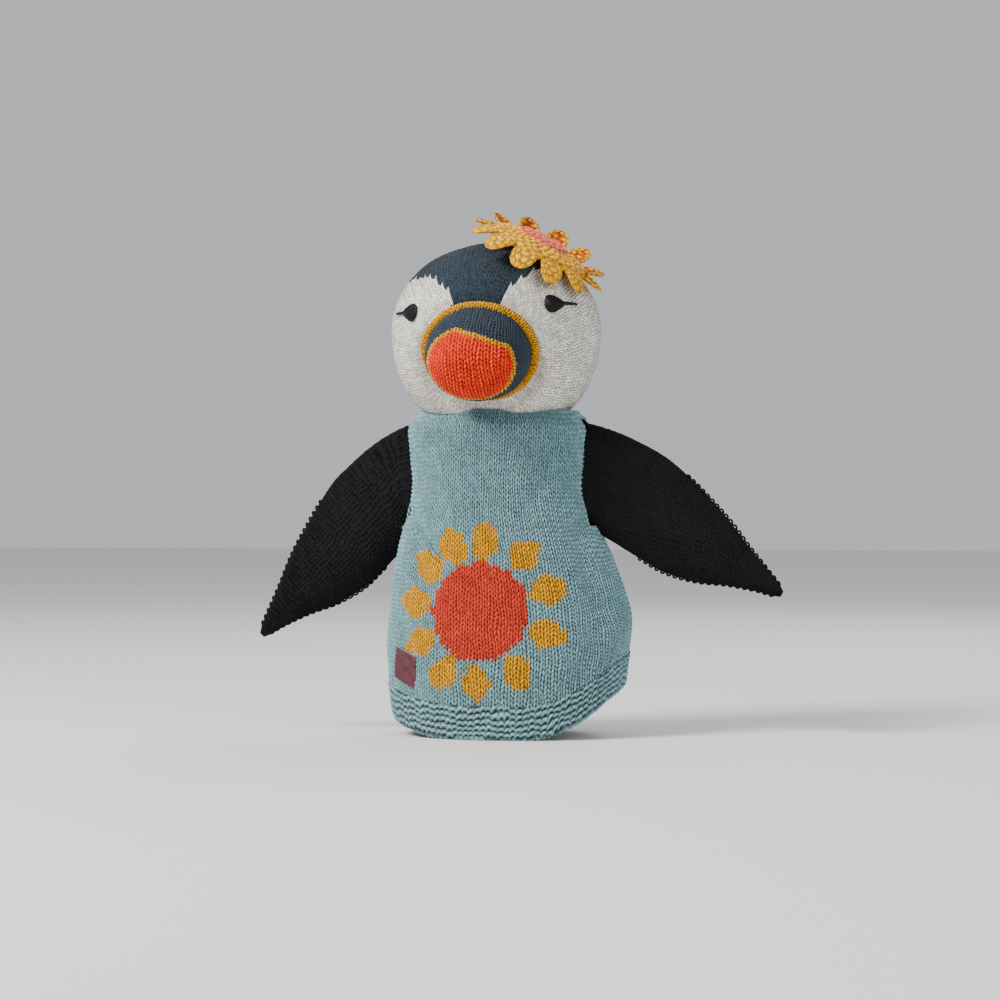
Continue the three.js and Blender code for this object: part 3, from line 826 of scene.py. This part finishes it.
def flipper_point(around, along, side, grow=0.0):
    """A point of a flipper's skin. Around is 0 at the front and a quarter turn at the top."""
    droop = math.radians(DROOP[side])
    high = (upper_edge(along) - lower_edge(along)) / 2 + grow
    middle = (upper_edge(along) + lower_edge(along)) / 2
    local_z = middle + high * squared(np.sin(around), 0.9)
    y = -(half_thickness(along) + grow) * squared(np.cos(around), 1.1)
    x = SHOULDER[0] + math.cos(droop) * along + math.sin(droop) * local_z
    z = SHOULDER[1] - math.sin(droop) * along + math.cos(droop) * local_z
    leaf = stack(x, y, z)
    socket_x = SHOULDER[0] - 3.5 + 0.7 * (along - FLIPPER_START)
    socket_y = -12.2 * squared(np.cos(around), 0.6)
    socket_z = 151.5 + 31.5 * squared(np.sin(around), 0.75)
    socket = stack(socket_x + 0 * around, socket_y, socket_z)
    mix = smoothstep(along, *SOCKET_MEETS)[..., None]
    point = socket * (1 - mix) + leaf * mix
    if side == "right":
        point[..., 0] *= -1
    return point


def whip_stitches(side, start, end, top):
    """Short slanted stitches that wrap over a flipper's edge."""
    middle = math.pi / 2 if top else -math.pi / 2
    paths = []
    for along in np.arange(start, end, WHIP_PITCH):
        reach = np.linspace(-1, 1, 9)
        spread = 0.26 + 0.2 * smoothstep(along, 80, 130)
        around = middle + spread * reach
        slant = along + 1.5 * reach
        paths.append(flipper_point(around, slant, side, 0.4 - 1.1 * reach**4))
    return paths


def build_flipper(side):
    body = f"flipper_{side}"
    flip = side == "left"
    rows = round((FLIPPER_END - FLIPPER_START) / ROW)

    def surface(wale, row):
        around = wale / FLIPPER_WALES * 2 * math.pi - math.pi / 2
        return flipper_point(around, FLIPPER_START + row * ROW, side)

    knit = Knit(surface, (0, FLIPPER_WALES), (0, rows), flip=not flip, closed=True)
    row = knit.middle(knit.row)
    wale = knit.middle(knit.wale)
    swing_end = [v * MM for v in flipper_point(0.0, FLIPPER_START + SWING_ROW * ROW, side)]
    raise_end = [v * MM for v in flipper_point(0.0, FLIPPER_START + RAISE_ROW * ROW, side)]
    socket = knit.cut(f"{body}_socket", INK, row < SWING_ROW)
    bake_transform(socket)
    finish(socket, None, "flipper_yarn")
    root = knit.cut(f"{body}_root", INK, (row > SWING_ROW) & (row < RAISE_ROW))
    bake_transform(root)
    finish(root, None, "flipper_yarn", f"{body}_root")
    front_half = wale < FLIPPER_WALES / 2
    for half, keep in (("front", front_half), ("back", ~front_half)):
        blade = knit.cut(f"{body}_{half}", INK, (row > RAISE_ROW) & keep)
        finish(blade, body, "flipper_yarn", f"{body}_{half}")
    start = FLIPPER_START + RAISE_ROW * ROW
    paths = [p for top in (True, False) for p in whip_stitches(side, start, FLIPPER_END - 3, top)]
    seam = strands(f"{body}_seam", INK, paths, 0.65, sides=8)
    finish(seam, body, "flipper_yarn", f"{body}_seam")


# ---------------------------------------------------------------- head


def head_point(direction, margin=0.0):
    """The head's surface along a direction from its centre, grown by a margin."""
    d = unit(direction)
    power = 2 + CHIN_SQUARENESS * smoothstep(-d[..., 2], 0, 0.8)
    half_height = np.where(d[..., 2] > 0, HEAD_HALF[2], CHIN_DEPTH)
    total = (
        np.abs(d[..., 0] / (HEAD_HALF[0] + margin)) ** power
        + np.abs(d[..., 1] / (HEAD_HALF[1] + margin)) ** power
        + np.abs(d[..., 2] / (half_height + margin)) ** power
    )
    point = d * (total ** (-1 / power))[..., None] + HEAD_CENTRE
    point[..., 2] = np.maximum(point[..., 2], HEAD_BOTTOM - margin)
    return point


PITCH = math.radians(BEAK_PITCH)
BEAK_AXIS = np.array([0, -math.cos(PITCH), -math.sin(PITCH)])
BEAK_UP = np.array([0, -math.sin(PITCH), math.cos(PITCH)])
BEAK_SIDE = np.array([1.0, 0, 0])


def off_axis(angle, turn):
    """A direction at an angle off the beak's axis, turned round it from straight down."""
    ring = -BEAK_UP * np.cos(turn)[..., None] + BEAK_SIDE * np.sin(turn)[..., None]
    return BEAK_AXIS * np.cos(angle)[..., None] + ring * np.sin(angle)[..., None]


def pressed_by_beak(point, angle):
    """Pulls the cover in round the beak, so that the beak's rim lies on it."""
    out = point - HEAD_CENTRE
    ahead = np.maximum(out @ BEAK_AXIS, 1)
    limit = BEAK_BASE + RIM_OFFSET + 50 * np.maximum(0, angle - math.radians(RIM_ANGLE))
    kept = (1 + (ahead / limit) ** 30) ** (-1 / 30)
    return HEAD_CENTRE + out * kept[..., None]


def build_head_cover():
    rows = round(math.radians(HEAD_TO - HEAD_FROM) * HEAD_HALF[1] / ROW)

    def surface(wale, row):
        angle = np.radians(HEAD_FROM + (HEAD_TO - HEAD_FROM) * row / rows)
        turn = 2 * math.pi * wale / HEAD_WALES
        return pressed_by_beak(head_point(off_axis(angle, turn)), angle)

    knit = Knit(surface, (0, HEAD_WALES), (0, rows), depth=1.15, closed=True)
    stitch = knit.stitches()
    edge = np.interp(stitch[..., 0], CROWN_EDGE_X, CROWN_EDGE_Z)
    back = stitch[..., 1] > CROWN_BACK_Y
    crown = (stitch[..., 2] > edge) & ~back
    place = knit.places()
    hole = (place[..., 2] < HEAD_BOTTOM + 1) & (np.hypot(place[..., 0], place[..., 1]) < TUBE_RADIUS)
    dark = knit.cut("head_crown", NAVY, crown & ~hole)
    finish(dark, "head", "crown_yarn", "head_crown", "head_stuffing")
    rear = knit.cut("head_back", NAVY, back & ~hole)
    finish(rear, "head", "crown_yarn")
    pale = knit.cut("head_face", CREAM, ~crown & ~back & ~hole)
    finish(pale, "head", "face_yarn", "head_face")


def build_finger_tube():
    def surface(wale, row):
        turn = 2 * math.pi * wale / TUBE_WALES
        rise = TUBE_BOTTOM + row * TUBE_HEIGHT / TUBE_ROWS
        return stack(TUBE_RADIUS * np.cos(turn), TUBE_RADIUS * np.sin(turn), rise)

    knit = Knit(surface, (0, TUBE_WALES), (0, TUBE_ROWS), depth=0.4, closed=True)
    tube = knit.cut("finger_tube", LINING)
    finish(tube, "head", "lining_yarn", "finger_tube")


def beak_dome(sideways, upwards):
    """A point of the beak's dome, by the two angles that a stitch's wale and row stand for."""
    ahead = np.cos(sideways) * np.cos(upwards)
    side = np.sin(sideways)
    up = np.cos(sideways) * np.sin(upwards)
    out = np.hypot(side, up)
    total = (ahead / BEAK_LENGTH) ** BEAK_SQUARENESS + (out / BEAK_RADIUS) ** BEAK_SQUARENESS
    reach = total ** (-1 / BEAK_SQUARENESS)
    place = (
        BEAK_AXIS * (BEAK_BASE + ahead * reach)[..., None]
        + BEAK_SIDE * (side * reach)[..., None]
        + BEAK_UP * (up * reach * BEAK_FLATTEN)[..., None]
    )
    return HEAD_CENTRE + place


def around_beak(turn, radius, at):
    """A point at a turn, radius and distance along the beak's axis from the head's centre."""
    ring = -BEAK_UP * (BEAK_FLATTEN * np.cos(turn))[..., None] + BEAK_SIDE * np.sin(turn)[..., None]
    return HEAD_CENTRE + BEAK_AXIS * np.asarray(at)[..., None] + ring * np.asarray(radius)[..., None]


def build_beak():
    def surface(wale, row):
        sideways = (wale / BEAK_WALES - 0.5) * math.pi * 0.99
        upwards = (row / BEAK_ROWS - 0.5) * math.pi * 0.999
        return beak_dome(sideways, upwards)

    knit = Knit(surface, (0, BEAK_WALES), (0, BEAK_ROWS))
    place = knit.places()
    ahead = (place - HEAD_CENTRE) @ BEAK_AXIS - BEAK_BASE
    below_edge = CAP_EDGE[0] - CAP_EDGE[1] * place[..., 0] - place[..., 2]
    into_cap = np.minimum(ahead - CAP_START, below_edge)
    band = knit.cut("beak_band", NAVY, into_cap < -STRIPE_WIDTH)
    stripe = knit.cut("beak_stripe", GOLD, (into_cap >= -STRIPE_WIDTH) & (into_cap < 0))
    tip = knit.cut("beak_tip", ORANGE, into_cap >= 0)
    finish(band, "head", "crown_yarn", "beak_band")
    finish(stripe, "head", "petal_yarn", "beak_stripe")
    finish(tip, "head", "beak_yarn", "beak_tip", "beak_stuffing")


def build_rim():
    def surface(wale, row):
        turn = 2 * math.pi * wale / RIM_WALES
        roll = 2 * math.pi * row / RIM_ROWS
        radius = RIM_RADIUS + RIM_TUBE * np.cos(roll)
        return around_beak(turn, radius, BEAK_BASE + RIM_OFFSET + 0.8 * RIM_TUBE * np.sin(roll))

    knit = Knit(surface, (0, RIM_WALES), (0, RIM_ROWS), depth=1.0, closed=True)
    rim = knit.cut("beak_rim", GOLD)
    finish(rim, "head", "petal_yarn", "beak_rim")


def eye_frame(side):
    """The place of an eye, and the directions across and up the face there."""
    sign = 1 if side == "left" else -1
    azimuth = math.radians(EYE_AZIMUTH[side] * sign)
    elevation = math.radians(EYE_ELEVATION[side])
    level = math.cos(elevation)
    way = np.array([math.sin(azimuth) * level, -math.cos(azimuth) * level, math.sin(elevation)])
    at = head_point(way)
    out = unit((at - HEAD_CENTRE) / HEAD_HALF**2)
    across = unit(np.cross([0, 0, 1], out)) * sign
    return at, across, unit(np.cross(out, across)) * sign


def on_face(side, across, up, height):
    """A point over the head at an offset from an eye, across being outwards."""
    at, right, above = eye_frame(side)
    where = at + right * np.asarray(across)[..., None] + above * np.asarray(up)[..., None]
    surface = head_point(where - HEAD_CENTRE)
    return surface + unit(surface - HEAD_CENTRE) * np.asarray(height)[..., None]


def build_eye(side):
    def surface(wale, row):
        turn = 2 * math.pi * wale / EYE_WALES
        share = np.clip(row / EYE_ROWS, 0, 1)
        point = np.clip(np.cos(turn), 0, 1) ** 3
        across = share * EYE_HALF[0] * (np.cos(turn) + 0.75 * point)
        up = share * EYE_HALF[1] * np.sin(turn) * (1 - 0.1 * np.cos(turn))
        dome = np.sqrt(np.clip(1 - share**2, 0, 1))
        threads = 0.12 * np.sin(up * 2 * math.pi / 0.9 + across * 0.8)
        return on_face(side, across, up, 0.2 + (EYE_HEIGHT + threads) * dome)

    size = (0, EYE_WALES), (0, EYE_ROWS)
    knit = Knit(surface, *size, relief=plain, depth=0, flip=side == "left", closed=True)
    eye = knit.cut(f"eye_{side}", SATIN)
    finish(eye, "head", "flipper_yarn", f"eye_{side}")
    out = np.linspace(EYE_HALF[0] * 1.2, EYE_HALF[0] + LASH_LENGTH, LASH_POINTS)
    paths = [on_face(side, out, up + 0.4 * out / LASH_LENGTH, 0.9) for up in (-0.35, 0.35)]
    thickness = np.linspace(*LASH_RADII, LASH_POINTS)
    lash = strands(f"lash_{side}", SATIN, paths, thickness, sides=8)
    finish(lash, "head", "flipper_yarn", f"lash_{side}")


# ---------------------------------------------------------------- hat


def hat_axes():
    """The hat's centre, and its directions across, along and out of its plane."""
    tilt = math.radians(HAT_TILT)
    nod = math.radians(HAT_NOD)
    out = np.array([
        math.sin(tilt),
        -math.sin(nod) * math.cos(tilt),
        math.cos(nod) * math.cos(tilt),
    ])
    foot = head_point(HAT_SEAT)
    turn = Vector((0, 0, 1)).rotation_difference(Vector(out))
    right = np.array(turn @ Vector((1, 0, 0)))
    ahead = np.array(turn @ Vector((0, 1, 0)))
    return foot + out * HAT_LIFT, right, ahead, out


def in_hat(x, y, z):
    centre, right, ahead, out = hat_axes()
    x, y, z = (np.asarray(v)[..., None] for v in np.broadcast_arrays(x, y, z))
    return centre + right * x + ahead * y + out * z


def hat_round(name, material, wales, radius, low, high):
    """A crocheted disc with a shallow dome: over the top, round the edge and back below."""
    rows = round(radius / CROCHET_ROUND)

    def surface(wale, row):
        turn = 2 * math.pi * wale / wales
        over = np.clip(row / rows, 0.02, 1) * radius
        under = np.clip(2 * rows + 1 - row, 0.5, rows) / rows * radius
        out = np.where(row < rows + 0.5, over, under)
        rise = (high - low) * (1 - smoothstep(row, rows, rows + 1))
        edge = 0.8 * np.exp(-((row - rows - 0.5) ** 2) * 2)
        return in_hat(
            (out + edge) * np.cos(turn), (out + edge) * np.sin(turn), low + rise - out**2 / HAT_SAG
        )

    size = (0, wales), (0, 2 * rows + 1)
    knit = Knit(surface, *size, relief=crochet, depth=CROCHET_DEPTH, flip=True, closed=True)
    return knit.cut(name, material)


def build_petal(index):
    """A petal: a thick rounded leaf. Those at the back stand up and are cupped, and their hollows
    take a darker orange as painted shade.
    """
    around = 2 * math.pi * index / PETALS
    backness = (1 + math.sin(around)) / 2
    lift = math.radians(PETAL_DOWN + (PETAL_UP - PETAL_DOWN) * backness**2)
    deep = PETAL_DENT if backness > PETAL_CUPPED else 0

    def surface(wale, row):
        share = np.clip(row / PETAL_ROWS, 0, PETAL_TIP)
        turn = 2 * math.pi * wale / PETAL_WALES
        closing = (1 - share**4) ** 0.6
        half = PETAL_HALF_WIDTH * closing * (0.9 + 0.1 * share)
        across = half * squared(np.cos(turn), 0.7)
        middle = np.clip(1 - (across / half) ** 2, 0, 1) ** 1.5
        dent = deep * middle * (np.sin(turn) > 0) * (1 - share**3)
        rise = PETAL_HALF_THICKNESS * closing * np.sin(turn) - dent
        rise = rise - PETAL_CURL * (1 - backness) * share**2
        along = share * PETAL_LENGTH
        out = HAT_RADIUS - 1 + along * math.cos(lift) - rise * math.sin(lift)
        z = along * math.sin(lift) + rise * math.cos(lift) - HAT_RADIUS**2 / HAT_SAG + 1.4
        x = out * math.cos(around) - across * math.sin(around)
        y = out * math.sin(around) + across * math.cos(around)
        return in_hat(x, y, z)

    size = (0, PETAL_WALES), (0, PETAL_ROWS)
    knit = Knit(surface, *size, relief=crochet, depth=1.2, flip=True, closed=True)
    wale = knit.middle(knit.wale)
    row = knit.middle(knit.row)
    top = PETAL_WALES / 4
    # The cupped middle of a back petal is cut out to take the darker orange as painted shade.
    shaded_hollow = (np.abs(wale - top) < 1.4 - 0.2 * row) & (backness > PETAL_CUPPED)
    number = f"{index + 1:02d}"
    leaf = knit.cut(f"hat_petal_{number}", HAT_GOLD, ~shaded_hollow)
    finish(leaf, "head", "petal_yarn", f"hat_petal_{number}")
    if backness <= PETAL_CUPPED:
        return [leaf]
    dent = knit.cut(f"petal_hollow_{number}", HOLLOW_SHADE, shaded_hollow)
    return [leaf, finish(dent, "head", "petal_yarn")]


def build_hat():
    disc = hat_round("hat_disc", HAT_GOLD, 30, HAT_RADIUS, 0, HAT_THICKNESS)
    finish(disc, "head", "petal_yarn", "hat_disc")
    centre = hat_round(
        "hat_centre", PINK, 18, HAT_CENTRE_RADIUS, HAT_THICKNESS - 0.5, HAT_THICKNESS + 1.4
    )
    finish(centre, "head", "coral_yarn", "hat_centre")
    petals = [piece for i in range(PETALS) for piece in build_petal(i)]


# ---------------------------------------------------------------- room


def soft_light(name, place, aim, size, power, warmth=(1, 1, 1)):
    lamp = bpy.data.lights.new(name, "AREA")
    lamp.shape = "SQUARE"
    lamp.size = size
    lamp.energy = power
    lamp.color = warmth
    holder = bpy.data.objects.new(name, lamp)
    holder.location = place
    holder.rotation_euler = (Vector(aim) - Vector(place)).to_track_quat("-Z", "Y").to_euler()
    bpy.context.scene.collection.objects.link(holder)


def build_room():
    bpy.ops.mesh.primitive_plane_add(size=12, location=(0, 0, 0))
    floor = bpy.context.object
    floor.name = "floor"
    n = Nodes("floor")
    shader = n.add("ShaderNodeBsdfPrincipled")
    shader.inputs["Base Color"].default_value = (0.8, 0.79, 0.77, 1)
    shader.inputs["Roughness"].default_value = 0.9
    n.link(shader.outputs[0], n.add("ShaderNodeOutputMaterial").inputs[0])
    floor.data.materials.append(n.material)
    world = bpy.data.worlds.new("studio")
    world.use_nodes = True
    background = world.node_tree.nodes["Background"]
    background.inputs[0].default_value = (0.9, 0.92, 0.95, 1)
    background.inputs[1].default_value = 0.62
    bpy.context.scene.world = world
    middle = (0, 0, 0.15)
    soft_light("key", (-1.1, -1.1, 1.5), middle, 0.7, 62, (1, 0.98, 0.95))
    soft_light("fill", (1.3, -1.2, 0.7), middle, 1.2, 9, (0.93, 0.96, 1))
    soft_light("back", (0.4, 1.3, 1.2), middle, 0.8, 10)


def build_camera():
    """Level with the middle of the puppet, a little to its left."""
    azimuth = math.radians(12)
    distance = 1.64
    height = 0.137
    camera = bpy.data.objects.new("camera", bpy.data.cameras.new("camera"))
    camera.data.lens = 100.8
    camera.data.sensor_width = 36
    camera.location = (math.sin(azimuth) * distance, -math.cos(azimuth) * distance, height)
    look = Vector((0, 0, height)) - camera.location
    camera.rotation_euler = look.to_track_quat("-Z", "Y").to_euler()
    bpy.context.scene.collection.objects.link(camera)
    bpy.context.scene.camera = camera


build_dress()
for name in ("left", "right"):
    build_flipper(name)
    build_eye(name)
build_head_cover()
build_finger_tube()
build_beak()
build_rim()
build_hat()
build_room()
build_camera()
